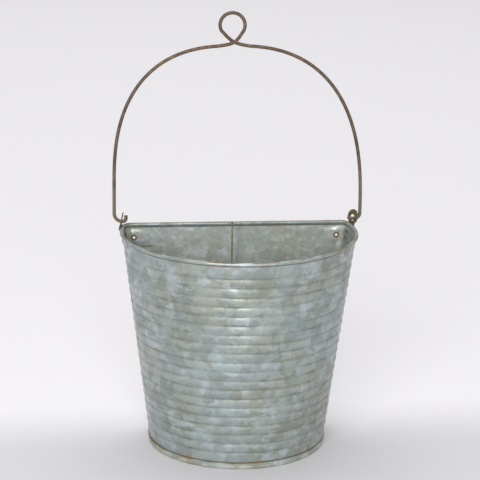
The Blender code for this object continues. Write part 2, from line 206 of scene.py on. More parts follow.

# Colours of zinc, dirt and rust, and of painted light and shade; a factor of painted light
# multiplies the colour below it
PAINTED_HIGHLIGHT_FLECK = (0.400, 0.455, 0.480)
PALE_HAZE = (0.42, 0.47, 0.48)
BACK_PAINTED_LIGHT = (1.56, 1.47, 1.40)
GROOVE_DIRT_AND_SHADE = (0.150, 0.150, 0.105)
CROWN_DIRT = (0.140, 0.115, 0.062)
LINE_DIRT_AND_SHADE = (0.075, 0.072, 0.050)
HOLE_RUST_AND_SHADE = (0.085, 0.070, 0.048)
WALL_OLD_RUST = (0.10, 0.065, 0.03)
TRAY_PAINTED_LIGHT = (1.30, 1.27, 1.18)
TRAY_OLD_RUST = (0.13, 0.085, 0.03)
TRAY_RUST = (0.42, 0.25, 0.07)
WIRE_WORN = (0.195, 0.135, 0.092)
WIRE_DARK = (0.060, 0.042, 0.030)
WIRE_GREY = (0.180, 0.168, 0.128)

# Old steel as (base, worn, dark)
EAR_STEEL = ((0.125, 0.098, 0.048), (0.190, 0.160, 0.088), (0.062, 0.047, 0.023))
RIVET_STEEL = ((0.200, 0.185, 0.130), (0.300, 0.300, 0.250), (0.100, 0.080, 0.045))
RIM_WIRE_STEEL = ((0.120, 0.095, 0.065), (0.180, 0.150, 0.105), (0.060, 0.045, 0.030))


# ------------------------------------------------------------------ settings

class BucketSettings(bpy.types.PropertyGroup):
    """Sizes and colours of the bucket that a user may change."""

    rib_count: IntProperty(
        name="Rib Grooves", description="Number of grooves pressed into the round front",
        default=20, min=1, max=40)
    rib_pitch: FloatProperty(
        name="Rib Pitch", description="Height from one groove to the next",
        default=0.0098, min=0.002, unit='LENGTH', subtype='DISTANCE', precision=4)
    lowest_groove: FloatProperty(
        name="Lowest Groove", description="Height of the lowest groove above the base",
        default=0.0175, min=0.0, unit='LENGTH', subtype='DISTANCE', precision=4)
    groove_depth: FloatProperty(
        name="Groove Depth", description="How deep each groove is pressed",
        default=0.0010, min=0.0, unit='LENGTH', subtype='DISTANCE', precision=4)
    unevenness: FloatProperty(
        name="Unevenness", description="How far the thin sheet is pushed in and out by use",
        default=0.0010, min=0.0, unit='LENGTH', subtype='DISTANCE', precision=4)
    wire_radius: FloatProperty(
        name="Bail Wire Radius", description="Half the thickness of the bail's wire",
        default=0.00175, min=0.0005, unit='LENGTH', subtype='DISTANCE', precision=5)
    zinc_cool: FloatVectorProperty(
        name="Cool Zinc", description="Colour of the bluish zinc crystals",
        default=(0.300, 0.352, 0.358), size=3, min=0, max=1, subtype='COLOR')
    zinc_warm: FloatVectorProperty(
        name="Warm Zinc", description="Colour of the dull, olive zinc crystals",
        default=(0.275, 0.296, 0.252), size=3, min=0, max=1, subtype='COLOR')
    rust: FloatVectorProperty(
        name="Rust", description="Colour of fresh rust along the seams",
        default=(0.225, 0.155, 0.052), size=3, min=0, max=1, subtype='COLOR')
    wire_brown: FloatVectorProperty(
        name="Wire Brown", description="Colour of the rusted bail wire",
        default=(0.092, 0.060, 0.040), size=3, min=0, max=1, subtype='COLOR')


# ------------------------------------------------------------------ node helpers

def feed(tree, socket, value):
    """Link a socket to an input, or set the input to a value."""
    if isinstance(value, bpy.types.NodeSocket):
        tree.links.new(value, socket)
    else:
        socket.default_value = value


def node(tree, kind, inputs=None, **settings):
    """Add a node. Inputs are given by name or number, as values or as sockets to link."""
    made = tree.nodes.new(kind)
    for key, value in settings.items():
        setattr(made, key, value)
    for key, value in (inputs or {}).items():
        feed(tree, made.inputs[key], value)
    return made


def math_node(tree, operation, first, second=0.0, third=0.0, clamp=False):
    """Result of a Math node."""
    made = node(tree, "ShaderNodeMath", {0: first, 1: second, 2: third},
                operation=operation, use_clamp=clamp)
    return made.outputs[0]


def times(tree, first, second, clamp=False):
    """Product of two values."""
    return math_node(tree, 'MULTIPLY', first, second, clamp=clamp)


def minus(tree, first, second, clamp=False):
    """First value less the second."""
    return math_node(tree, 'SUBTRACT', first, second, clamp=clamp)


def highest(tree, *values):
    """Highest of several values."""
    top = values[0]
    for value in values[1:]:
        top = math_node(tree, 'MAXIMUM', top, value)
    return top


def vector_math(tree, operation, first, second=None, scale=1.0):
    """Result of a Vector Math node; its length for LENGTH."""
    given = {0: first}
    if operation == 'SCALE':
        given["Scale"] = scale
    elif second is not None:
        given[1] = second
    made = node(tree, "ShaderNodeVectorMath", given, operation=operation)
    return made.outputs["Value" if operation == 'LENGTH' else "Vector"]


def combine(tree, x=0.0, y=0.0, z=0.0):
    """Vector made of three values."""
    return node(tree, "ShaderNodeCombineXYZ", {0: x, 1: y, 2: z}).outputs[0]


def stirred(tree, place, scale, detail, reach):
    """Coordinates pushed about by a noise, each way by up to half of the reach."""
    stir = node(tree, "ShaderNodeTexNoise", {"Vector": place, "Scale": scale, "Detail": detail})
    centred = vector_math(tree, 'SUBTRACT', stir.outputs["Color"], (0.5, 0.5, 0.5))
    pushed = vector_math(tree, 'SCALE', centred, scale=reach)
    return vector_math(tree, 'ADD', place, pushed)


def reach_from(tree, across, up):
    """Distance in a plane from its two parts."""
    return vector_math(tree, 'LENGTH', combine(tree, across, up))


def smooth_range(tree, value, low, high, to_low=0.0, to_high=1.0):
    """Smooth step from one value to another as the input goes from low to high."""
    made = node(tree, "ShaderNodeMapRange",
                {"Value": value, "From Min": low, "From Max": high,
                 "To Min": to_low, "To Max": to_high},
                interpolation_type='SMOOTHSTEP')
    return made.outputs["Result"]


def band(tree, value, centre, half, soft):
    """1 where the value lies within half of the centre, fading to 0 over soft."""
    away = math_node(tree, 'ABSOLUTE', minus(tree, value, centre))
    return smooth_range(tree, away, half, half + soft, 1.0, 0.0)


def mixed(tree, factor, first, second, blend='MIX'):
    """Colour mixed from two colours."""
    made = node(tree, "ShaderNodeMix", {0: factor}, data_type='RGBA', blend_type=blend)
    for socket, value in zip(made.inputs[6:8], (first, second)):
        is_socket = isinstance(value, bpy.types.NodeSocket)
        feed(tree, socket, value if is_socket else (*value, 1.0))
    return made.outputs[2]


def noise(tree, place, scale, detail=3.0, roughness=0.55):
    """Value of a noise texture."""
    made = node(tree, "ShaderNodeTexNoise",
                {"Vector": place, "Scale": scale, "Detail": detail, "Roughness": roughness})
    return made.outputs[0]


def cells(tree, place, scale):
    """Random red, green and blue of the cells of a Voronoi pattern."""
    made = node(tree, "ShaderNodeTexVoronoi", {"Vector": place, "Scale": scale})
    return node(tree, "ShaderNodeSeparateColor", {0: made.outputs["Color"]}).outputs


def new_group(name, kind, inputs, outputs):
    """Node group with named sockets; returns the tree, its input node and its output node."""
    tree = bpy.data.node_groups.new(name, kind)
    for title, word, value in inputs:
        socket = tree.interface.new_socket(title, in_out='INPUT', socket_type="NodeSocket" + word)
        if value is not None:
            socket.default_value = value
    for title, word in outputs:
        tree.interface.new_socket(title, in_out='OUTPUT', socket_type="NodeSocket" + word)
    return tree, tree.nodes.new("NodeGroupInput"), tree.nodes.new("NodeGroupOutput")


def placed_group(tree, name, inputs):
    """Outputs of a node group placed in a material with its own values."""
    made = tree.nodes.new("ShaderNodeGroup")
    made.node_tree = bpy.data.node_groups[name]
    for key, value in inputs.items():
        feed(tree, made.inputs[key], value)
    return made.outputs


def named(tree, name, kind='FLOAT'):
    """Value of a named attribute of a mesh."""
    return node(tree, "GeometryNodeInputNamedAttribute", {"Name": name}, data_type=kind).outputs[0]


def end_tree(tree, end, geometry, material):
    """Close a geometry tree: instances made real, then the material set."""
    real = node(tree, "GeometryNodeRealizeInstances", {"Geometry": geometry})
    done = node(tree, "GeometryNodeSetMaterial", {"Geometry": real.outputs[0],
                                                  "Material": material})
    tree.links.new(done.outputs[0], end.inputs[0])


def set_inputs(modifier, values):
    """Set a Geometry Nodes modifier's inputs, found by their names."""
    for item in modifier.node_group.interface.items_tree:
        if item.item_type == 'SOCKET' and item.in_out == 'INPUT' and item.name in values:
            modifier[item.identifier] = values[item.name]


# ------------------------------------------------------------------ shader groups

def spangle_group():
    """Crystals of hot-dip zinc: patches of uneven tone with ragged edges."""
    tree, start, end = new_group(
        "Zinc Spangle", 'ShaderNodeTree',
        [("Vector", "Vector", None), ("Crystals per Metre", "Float", 70.0),
         ("Raggedness", "Float", 0.0065)],
        [("Tone", "Float"), ("Tint", "Float")])
    place, per_metre, raggedness = start.outputs[:3]
    ragged = stirred(tree, place, 95.0, 1.0, raggedness)
    large = cells(tree, ragged, per_metre)
    small = cells(tree, ragged, times(tree, per_metre, 2.3))
    share = smooth_range(tree, noise(tree, place, 26.0, 2.0), 0.35, 0.65, 0.15, 0.55)
    tone = node(tree, "ShaderNodeMix", {0: share, 2: large[0], 3: small[0]})
    tree.links.new(tone.outputs[0], end.inputs["Tone"])
    tree.links.new(large[1], end.inputs["Tint"])


def rust_group():
    """Patchy rust that eats into a surface where the given mask allows it."""
    tree, start, end = new_group(
        "Rust Patches", 'ShaderNodeTree',
        [("Vector", "Vector", None), ("Mask", "Float", 1.0),
         ("Patches per Metre", "Float", 60.0), ("Spread", "Float", 0.5)],
        [("Amount", "Float"), ("Tone", "Float")])
    place = start.outputs["Vector"]
    patches = noise(tree, place, start.outputs["Patches per Metre"], 5.0, 0.6)
    over = minus(tree, patches, minus(tree, 1.0, start.outputs["Spread"]))
    eaten = smooth_range(tree, over, -0.06, 0.10)
    amount = times(tree, eaten, start.outputs["Mask"], clamp=True)
    tree.links.new(amount, end.inputs["Amount"])
    tree.links.new(noise(tree, place, 900.0, 3.0), end.inputs["Tone"])


def grain_group():
    """Fine surface grain as a height and a roughness."""
    tree, start, end = new_group(
        "Metal Grain", 'ShaderNodeTree',
        [("Vector", "Vector", None), ("Fineness", "Float", 1400.0),
         ("Low Roughness", "Float", 0.35), ("High Roughness", "Float", 0.6)],
        [("Height", "Float"), ("Roughness", "Float")])
    place = start.outputs["Vector"]
    fine = noise(tree, place, start.outputs["Fineness"], 3.0, 0.6)
    coarse = noise(tree, place, 240.0, 3.0)
    height = math_node(tree, 'MULTIPLY_ADD', coarse, 0.6, fine)
    wear = smooth_range(tree, coarse, 0.3, 0.7, start.outputs["Low Roughness"],
                        start.outputs["High Roughness"])
    tree.links.new(height, end.inputs["Height"])
    tree.links.new(wear, end.inputs["Roughness"])


# ------------------------------------------------------------------ materials

def new_material(name):
    """Material with its tree, its Principled shader, and Object coordinates with x, y and z."""
    finish = bpy.data.materials.new(name)
    finish.use_nodes = True
    tree = finish.node_tree
    shader = tree.nodes["Principled BSDF"]
    place = tree.nodes.new("ShaderNodeTexCoord").outputs["Object"]
    parts = node(tree, "ShaderNodeSeparateXYZ", {0: place})
    return finish, tree, shader, place, parts.outputs


def rusted(tree, place, mask, per_metre, spread):
    """Amount and tone of rust where a mask allows it."""
    made = placed_group(tree, "Rust Patches", {"Vector": place, "Mask": mask,
                                               "Patches per Metre": per_metre, "Spread": spread})
    return made["Amount"], made["Tone"]


def grained(tree, shader, place, roughness, strength, distance):
    """Give the shader a fine relief; returns a roughness within the given two values."""
    grain = placed_group(tree, "Metal Grain", {"Vector": place, "Low Roughness": roughness[0],
                                               "High Roughness": roughness[1]})
    relief = node(tree, "ShaderNodeBump", {"Height": grain["Height"], "Strength": strength,
                                           "Distance": distance})
    tree.links.new(relief.outputs[0], shader.inputs["Normal"])
    return grain["Roughness"]


def end_finish(tree, shader, colour, roughness, metallic):
    """Feed the shader its colour, roughness and share of bare metal."""
    feed(tree, shader.inputs["Base Color"], colour)
    feed(tree, shader.inputs["Roughness"], roughness)
    feed(tree, shader.inputs["Metallic"], metallic)


def stretched(tree, place):
    """Coordinates squeezed so that patterns come out longer sideways than upwards."""
    return vector_math(tree, 'MULTIPLY', stirred(tree, place, 130.0, 1.0, 0.0075),
                       (0.55, 0.55, 1.2))


def zinc_colour(tree, place, settings):
    """Mottled zinc colour with pale flecks painted in as highlight glints, and the tone of its
    crystals.
    """
    spangle = placed_group(tree, "Zinc Spangle", {"Vector": place})
    drift = noise(tree, place, 11.0, 3.0, 0.6)
    warmth = math_node(tree, 'MULTIPLY_ADD', spangle["Tint"], 0.45,
                       smooth_range(tree, drift, 0.36, 0.64, 0.0, 0.55), clamp=True)
    base = mixed(tree, warmth, settings.zinc_cool, settings.zinc_warm)
    light = smooth_range(tree, spangle["Tone"], 0.15, 0.85, 0.84, 1.20)
    # Pale flecks, stretched sideways: painted highlights that stand in for glints of light on the
    # zinc
    chosen = cells(tree, stretched(tree, place), 175.0)[0]
    lively = smooth_range(tree, noise(tree, place, 30.0, 3.0, 0.6), 0.42, 0.60, 0.0, 0.60)
    painted_highlight_fleck = times(tree, smooth_range(tree, chosen, 0.55, 0.64), lively)
    base = mixed(tree, painted_highlight_fleck, base, PAINTED_HIGHLIGHT_FLECK)
    grey = node(tree, "ShaderNodeCombineColor", {0: light, 1: light, 2: light}).outputs[0]
    return mixed(tree, 1.0, base, grey, 'MULTIPLY'), spangle["Tone"]


def wall_finish(settings):
    """Galvanised sheet of the wall, with dirt and painted shade in its grooves, painted shade
    under its rim and round its nail holes, a flat back painted lighter, and rust along its seams.
    """
    finish, tree, shader, place, (x, y, z) = new_material("galvanised_wall")
    colour, tone = zinc_colour(tree, place, settings)

    # Dirt and painted shade in the grooves, patches of pale haze, and a flat back painted lighter,
    # inside and outside, as painted light
    groove = node(tree, "ShaderNodeAttribute", attribute_name="groove").outputs["Fac"]
    patchy = smooth_range(tree, noise(tree, place, 45.0, 4.0, 0.6), 0.35, 0.65, 0.12, 0.60)
    # Darker in the grooves: dirt together with painted shade in the creases
    groove_dirt_and_shade = times(tree, smooth_range(tree, groove, 0.35, 1.0), patchy)
    colour = mixed(tree, groove_dirt_and_shade, colour, GROOVE_DIRT_AND_SHADE)
    haze = smooth_range(tree, noise(tree, place, 70.0, 4.0, 0.65), 0.55, 0.70, 0.0, 0.40)
    colour = mixed(tree, haze, colour, PALE_HAZE)
    at_back = smooth_range(tree, y, BACK_Y - 0.004, BACK_Y - 0.003)
    below_rim = smooth_range(tree, z, RIM_Z - 0.0040, RIM_Z - 0.0025, 1.0, 0.0)
    # The flat back is painted lighter, inside and outside: painted light for light that the lamps
    # bring to the inside too little
    colour = mixed(tree, times(tree, at_back, below_rim), colour,
                   mixed(tree, 1.0, colour, BACK_PAINTED_LIGHT, 'MULTIPLY'))

    # Dirt on top of the back's rim, and dark lines under the rim and above the tray: dirt and
    # painted shade in the gap under the bead and where the wall meets the tray
    bead = band(tree, z, RIM_Z - 0.0021, 0.0004, 0.0008)
    crown = smooth_range(tree, z, HEIGHT - 0.0010, HEIGHT - 0.0003)
    foot = band(tree, z, FLANGE_HEIGHT + 0.0002, 0.0006, 0.0012)
    colour = mixed(tree, times(tree, times(tree, crown, at_back), 0.55), colour, CROWN_DIRT)
    # Dark lines under the bead and above the tray: painted shade in these gaps, with dirt
    colour = mixed(tree, times(tree, highest(tree, foot, bead), 0.62), colour, LINE_DIRT_AND_SHADE)

    # Lap seam, nail holes and the stain beside one of them
    seam = times(tree, band(tree, x, SEAM_X, 0.0006, 0.0007), at_back)
    across = minus(tree, math_node(tree, 'ABSOLUTE', x), HANG_HOLE_X)
    from_hole = reach_from(tree, across, minus(tree, z, HANG_HOLE_Z))
    hole = times(tree, smooth_range(tree, from_hole, 0.0024, 0.0038, 1.0, 0.0), at_back)
    # Dark ring round each nail hole: rust and painted shade, standing in for the shaded gap seen
    # through the hole
    ring = times(tree, smooth_range(tree, from_hole, 0.0022, 0.0036, 0.85, 0.0), at_back)
    colour = mixed(tree, ring, colour, HOLE_RUST_AND_SHADE)
    from_stain = reach_from(
        tree, math_node(tree, 'DIVIDE', minus(tree, x, STAIN_X), STAIN_HALF_WIDTH),
        math_node(tree, 'DIVIDE', minus(tree, z, STAIN_Z), STAIN_HALF_HEIGHT))
    stain = times(tree, smooth_range(tree, from_stain, 0.5, 1.25, 1.0, 0.0), at_back)

    # Rust, strong at the seam and the holes and weak along the edges
    strong = highest(tree, seam, hole, stain)
    seam_rust, seam_tone = rusted(tree, place, strong, 160.0, 0.68)
    edge_rust = rusted(tree, place, highest(tree, bead, crown, foot), 42.0, 0.50)[0]
    rust = highest(tree, seam_rust, edge_rust)
    rust_tone = mixed(tree, seam_tone, WALL_OLD_RUST, settings.rust)
    colour = mixed(tree, times(tree, rust, 0.85), colour, rust_tone)

    rough = grained(tree, shader, place, (0.36, 0.56), 0.25, 0.0002)
    rough = math_node(tree, 'MULTIPLY_ADD', tone, -0.16, rough)
    rough = math_node(tree, 'MULTIPLY_ADD', rust, 0.35, rough, clamp=True)
    bright = math_node(tree, 'MULTIPLY_ADD', tone, 0.16, 0.30)
    metal = math_node(tree, 'MULTIPLY_ADD', rust, -0.4, bright, clamp=True)
    end_finish(tree, shader, colour, rough, metal)
    return finish


def tray_finish(settings):
    """Galvanised sheet of the base tray, painted lighter than the wall's zinc as painted light,
    rusty where its flange holds the wall.
    """
    finish, tree, shader, place, (x, _, z) = new_material("galvanised_tray")
    # The tray's zinc is painted lighter than the wall's: painted light
    colour = mixed(tree, 1.0, zinc_colour(tree, place, settings)[0], TRAY_PAINTED_LIGHT, 'MULTIPLY')
    edge = smooth_range(tree, z, FLANGE_HEIGHT - 0.0014, FLANGE_HEIGHT - 0.0002)
    streak = band(tree, z, 0.0006, 0.0003, 0.0008)
    to_left = smooth_range(tree, x, -0.02, 0.03, 1.0, 0.35)
    mask = times(tree, highest(tree, edge, streak), to_left)
    eaten, rust_tone = rusted(tree, place, mask, 48.0, 0.52)
    colour = mixed(tree, eaten, colour, mixed(tree, rust_tone, TRAY_OLD_RUST, TRAY_RUST))
    rough = grained(tree, shader, place, (0.38, 0.58), 0.25, 0.0002)
    rough = math_node(tree, 'MULTIPLY_ADD', eaten, 0.3, rough, clamp=True)
    metal = math_node(tree, 'MULTIPLY_ADD', eaten, -0.35, 0.38, clamp=True)
    end_finish(tree, shader, colour, rough, metal)
    return finish


def wire_finish(settings):
    """Brown rusted wire, worn lighter in places and greyer down its legs."""
    finish, tree, shader, place, axes = new_material("rusty_wire")
    wide = noise(tree, place, 60.0, 4.0, 0.6)
    fine = noise(tree, place, 700.0, 4.0, 0.65)
    worn = smooth_range(tree, fine, 0.42, 0.66)
    colour = mixed(tree, worn, settings.wire_brown, WIRE_WORN)
    dark = smooth_range(tree, wide, 0.30, 0.50, 0.75, 0.0)
    colour = mixed(tree, dark, colour, WIRE_DARK)
    low = smooth_range(tree, axes[2], HINGE.z + 0.020, HINGE.z + 0.110, 0.75, 0.0)
    bare = times(tree, low, smooth_range(tree, wide, 0.38, 0.60, 0.35, 1.0))
    colour = mixed(tree, bare, colour, WIRE_GREY)
    colour = mixed(tree, rusted(tree, place, 0.6, 150.0, 0.42)[0], colour, settings.rust)
    rough = grained(tree, shader, place, (0.42, 0.68), 0.45, 0.0003)
    end_finish(tree, shader, colour, rough, 0.45)
    return finish


def old_steel_finish(settings, name, colours):
    """Dull steel with a little zinc left on it, for ears, rivets and the rim's wire."""
    finish, tree, shader, place, _ = new_material(name)
    base, worn, dark = colours
    wide = noise(tree, place, 130.0, 4.0, 0.6)
    colour = mixed(tree, smooth_range(tree, wide, 0.40, 0.62), base, worn)
    spots = smooth_range(tree, noise(tree, place, 320.0, 3.0), 0.50, 0.68, 0.0, 0.8)
    colour = mixed(tree, spots, colour, dark)
    colour = mixed(tree, rusted(tree, place, 0.7, 220.0, 0.42)[0], colour, settings.rust)
    rough = grained(tree, shader, place, (0.42, 0.66), 0.35, 0.0003)
    end_finish(tree, shader, colour, rough, 0.5)
    return finish


# ------------------------------------------------------------------ mesh helpers

def new_object(name, mesh, finish=None):
    thing = bpy.data.objects.new(name, mesh)
    bpy.context.scene.collection.objects.link(thing)
    if finish:
        mesh.materials.append(finish)
    return thing


def bake_modifiers(thing):
    """Turn an object with modifiers into a plain mesh with the same shape."""
    graph = bpy.context.evaluated_depsgraph_get()
    mesh = bpy.data.meshes.new_from_object(thing.evaluated_get(graph),
                                           preserve_all_data_layers=True, depsgraph=graph)
    thing.modifiers.clear()
    thing.data = mesh
    mesh.name = thing.name


def smooth_shading(thing, limit=42):
    thing.data.shade_smooth()
    thing.data.set_sharp_from_angle(angle=math.radians(limit))


def place_in_mesh(thing, matrix):
    """Move the mesh itself, so that its object stays at the origin."""
    thing.data.transform(matrix)


def grow(name, rows, closed=False):
    """Surface through rows of points, open or joined round the ends of its rows."""
    bm = bmesh.new()
    rings = [[bm.verts.new(point) for point in row] for row in rows]
    for low, high in zip(rings, rings[1:]):
        count = len(low) if closed else len(low) - 1
        for i in range(count):
            j = (i + 1) % len(low)
            bm.faces.new((low[i], high[i], high[j], low[j]))
    mesh = bpy.data.meshes.new(name)
    bm.to_mesh(mesh)
    bm.free()
    return mesh


def thicken(thing, thickness, offset=-1.0):
    solid = thing.modifiers.new("Thickness", 'SOLIDIFY')
    solid.thickness = thickness
    solid.offset = offset
    solid.use_even_offset = True


def cylinder_cutter(radius, depth, sides, matrix):
    bm = bmesh.new()
    bmesh.ops.create_cone(bm, cap_ends=True, segments=sides, radius1=radius, radius2=radius,
                          depth=depth, matrix=matrix)
    mesh = bpy.data.meshes.new("cutter")
    bm.to_mesh(mesh)
    bm.free()
    return new_object("cutter", mesh)


def cut_holes(thing, cutters):
    for cutter in cutters:
        knife = thing.modifiers.new("Cut", 'BOOLEAN')
        knife.operation = 'DIFFERENCE'
        knife.solver = 'EXACT'
        knife.object = cutter
    bake_modifiers(thing)
    for cutter in cutters:
        bpy.data.objects.remove(cutter, do_unlink=True)


# ------------------------------------------------------------------ outline of the bucket

def wall_radius(z):
    return WALL_BASE_RADIUS + FLARE * z


def corner_centre(radius):
    """Centre of the right corner's fillet between a circle and the flat back."""
    cy = BACK_Y - CORNER_RADIUS
    return math.sqrt((radius - CORNER_RADIUS) ** 2 - cy ** 2), cy


def back_shares():
    """Places across half of the back, from the seam to the corner, finer at the nail hole."""
    corner_x = corner_centre(wall_radius(HANG_HOLE_Z))[0]
    hole = HANG_HOLE_X / corner_x
    reach = min(BOSS_RADIUS * 1.1 / corner_x, 1.0 - hole)
    shares = [(hole - reach) * i / BACK_SEGMENTS for i in range(BACK_SEGMENTS)]
    shares += [hole - reach + 2 * reach * i / BOSS_SEGMENTS for i in range(BOSS_SEGMENTS)]
    return shares + [1.0]


def stations():
    """Places along the outline, clockwise from above, as (zone, share of the zone)."""
    places = [("right_back", share) for share in back_shares()]
    places += [("right_corner", i / CORNER_SEGMENTS) for i in range(1, CORNER_SEGMENTS)]
    places += [("front", i / FRONT_SEGMENTS) for i in range(FRONT_SEGMENTS + 1)]
    places += [("left_corner", i / CORNER_SEGMENTS) for i in range(1, CORNER_SEGMENTS)]
    places += [("left_back", 1.0 - share) for share in reversed(back_shares())]
    return places


def outline_point(zone, share, radius, seam_x=0.0):
    """Point and outward normal on the outline of the given cone radius."""
    cx, cy = corner_centre(radius)
    turn = math.atan2(cy, cx)
    if zone == "right_back":
        return Vector((seam_x + (cx - seam_x) * share, BACK_Y)), Vector((0, 1))
    if zone == "left_back":
        return Vector((-cx + (seam_x + cx) * share, BACK_Y)), Vector((0, 1))
    if zone == "front":
        angle = turn - (math.pi + 2 * turn) * share
        normal = Vector((math.cos(angle), math.sin(angle)))
        return normal * radius, normal
    if zone == "right_corner":
        angle = math.pi / 2 + (turn - math.pi / 2) * share
        centre = Vector((cx, cy))
    else:
        angle = math.pi - turn + (turn - math.pi / 2) * share
        centre = Vector((-cx, cy))
    normal = Vector((math.cos(angle), math.sin(angle)))
    return centre + normal * CORNER_RADIUS, normal


def touch_point(angle):
    """Point of the rim's centre line whose outward normal has the given angle."""
    reach = wall_radius(RIM_Z) + CURL_START + CURL_RADIUS
    return Vector((math.cos(angle), math.sin(angle))) * reach


# ------------------------------------------------------------------ wall

def wall_rows(settings):
    """Rows of the wall's outer face from bottom to top, as (height, outward shift)."""
    rows = [(SHEET + GAP, 0.0), (FLANGE_HEIGHT, 0.0)]
    foot = settings.lowest_groove - settings.rib_pitch / 2
    rows.append(((FLANGE_HEIGHT + foot) / 2, 0.0))
    for i in range(settings.rib_count):
        base = settings.lowest_groove + (i - 0.5) * settings.rib_pitch
        rows += [(base + settings.rib_pitch * ((step + 0.5) % 1.0), 0.0)
                 for step in sorted(STEPS_IN_A_RIB, key=lambda share: (share + 0.5) % 1.0)]
    top_rib = settings.lowest_groove + (settings.rib_count - 0.5) * settings.rib_pitch
    straight_top = RIM_Z - 2 * CURL_RADIUS
    plain = 9
    rows += [(top_rib + (straight_top - top_rib) * i / plain, 0.0) for i in range(plain + 1)]
    for i in range(CURL_STEPS + 1):
        angle = math.pi - CURL_SWEEP * i / CURL_STEPS
        rows.append((RIM_Z + CURL_RADIUS * math.sin(angle),
                     CURL_START + CURL_RADIUS * (1 + math.cos(angle))))
    return rows


def wall_row(z, shift, places):
    """Points of one row with their outward directions, rib shares and flatness."""
    radius = wall_radius(min(z, RIM_Z))
    lap = LAP_DEPTH if z < NOTCH_Z else 0.0
    outer_end = SEAM_X + LAP_WIDTH if z < NOTCH_Z else SEAM_X - GAP
    row = []
    for across in (0.0, 0.5, 1.0):
        spot = Vector((SEAM_X + LAP_WIDTH * across, BACK_Y + shift - lap, z))
        row.append((spot, Vector((0, 1, 0)), 0.0, 0.0))
    for zone, share in places:
        seam = SEAM_X + LAP_WIDTH + LAP_RAMP if zone == "right_back" else outer_end
        spot, normal = outline_point(zone, share, radius, seam)
        spot = spot + normal * shift
        ribbed = min(1.0, min(share, 1.0 - share) / RIB_FADE) if zone == "front" else 0.0
        flat = 1.0 if zone.endswith("back") else 0.0
        row.append((Vector((*spot, z)), Vector((*normal, 0)), ribbed, flat))
    return row


def wall_surface(settings):
    """Smooth wall before the ribs are pressed, with the attributes that pressing needs."""
    places = stations()
    table = [wall_row(z, shift, places) for z, shift in wall_rows(settings)]
    mesh = grow("bucket_wall", [[entry[0] for entry in row] for row in table])
    flat_list = [entry for row in table for entry in row]
    outward = mesh.attributes.new("outward", 'FLOAT_VECTOR', 'POINT')
    outward.data.foreach_set("vector", [c for entry in flat_list for c in entry[1]])
    ribbed = mesh.attributes.new("ribbed", 'FLOAT', 'POINT')
    ribbed.data.foreach_set("value", [entry[2] for entry in flat_list])
    flat = mesh.attributes.new("flat", 'FLOAT', 'POINT')
    flat.data.foreach_set("value", [entry[3] for entry in flat_list])
    return mesh


def pressed_wall_tree():
    """Geometry nodes that press ribs and nail bosses into the wall and dent it slightly."""
    tree, start, end = new_group(
        "Pressed Wall", 'GeometryNodeTree',
        [("Geometry", "Geometry", None), ("Grooves", "Int", 20),
         ("Pitch", "Float", 0.0098), ("Lowest Groove", "Float", 0.0175),
         ("Groove Depth", "Float", 0.0008), ("Boss Depth", "Float", 0.001),
         ("Boss Radius", "Float", 0.01), ("Unevenness", "Float", 0.0005),
         ("Material", "Material", None)],
        [("Geometry", "Geometry")])
    given = start.outputs
    place = tree.nodes.new("GeometryNodeInputPosition").outputs[0]
    x, _, z = node(tree, "ShaderNodeSeparateXYZ", {0: place}).outputs

    # Grooves: a rounded hollow with a narrow line of uneven depth in its middle
    number = math_node(tree, 'DIVIDE', minus(tree, z, given["Lowest Groove"]), given["Pitch"])
    nearest = highest(tree, math_node(tree, 'ROUND', number), 0.0)
    nearest = math_node(tree, 'MINIMUM', nearest, minus(tree, given["Grooves"], 1.0))
    away = math_node(tree, 'ABSOLUTE', minus(tree, number, nearest))
    closeness = minus(tree, 1.0, times(tree, away, 2.0), clamp=True)
    rounded = times(tree, smooth_range(tree, closeness, 0.0, 1.0), ROUNDED_SHARE)
    narrow = times(tree, math_node(tree, 'POWER', closeness, NARROW_POWER), NARROW_SHARE)
    waver = noise(tree, place, 22.0, 2.0, 0.5)
    narrow = times(tree, narrow, smooth_range(tree, waver, 0.35, 0.65, 0.60, 1.10))
    groove = times(tree, math_node(tree, 'ADD', rounded, narrow), named(tree, "ribbed"))
    inward = times(tree, times(tree, groove, given["Groove Depth"]), -1.0)

    # Slight dents, held off the foot and the rim
    lump = times(tree, minus(tree, noise(tree, place, 15.0, 2.0, 0.5), 0.5), given["Unevenness"])
    held_low = smooth_range(tree, z, 0.008, 0.030)
    held_high = smooth_range(tree, z, RIM_Z - 0.030, RIM_Z - 0.012, 1.0, 0.0)
    lump = times(tree, lump, times(tree, held_low, held_high))
    moved = vector_math(tree, 'SCALE', named(tree, "outward", 'FLOAT_VECTOR'),
                        scale=math_node(tree, 'ADD', inward, lump))

    # Bosses pressed in around the nail holes
    across = minus(tree, math_node(tree, 'ABSOLUTE', x), HANG_HOLE_X)
    from_hole = reach_from(tree, across, minus(tree, z, HANG_HOLE_Z))
    boss = smooth_range(tree, from_hole, BOSS_TOP_RADIUS, given["Boss Radius"], 1.0, 0.0)
    boss = times(tree, times(tree, boss, given["Boss Depth"]), named(tree, "flat"))
    total = vector_math(tree, 'ADD', moved, combine(tree, y=times(tree, boss, -1.0)))
    stored = node(tree, "GeometryNodeStoreNamedAttribute",
                  {"Geometry": given["Geometry"], "Name": "groove", "Value": groove},
                  data_type='FLOAT', domain='POINT')
    pressed = node(tree, "GeometryNodeSetPosition", {"Geometry": stored.outputs[0],
                                                     "Offset": total})
    end_tree(tree, end, pressed.outputs[0], given["Material"])
    return tree


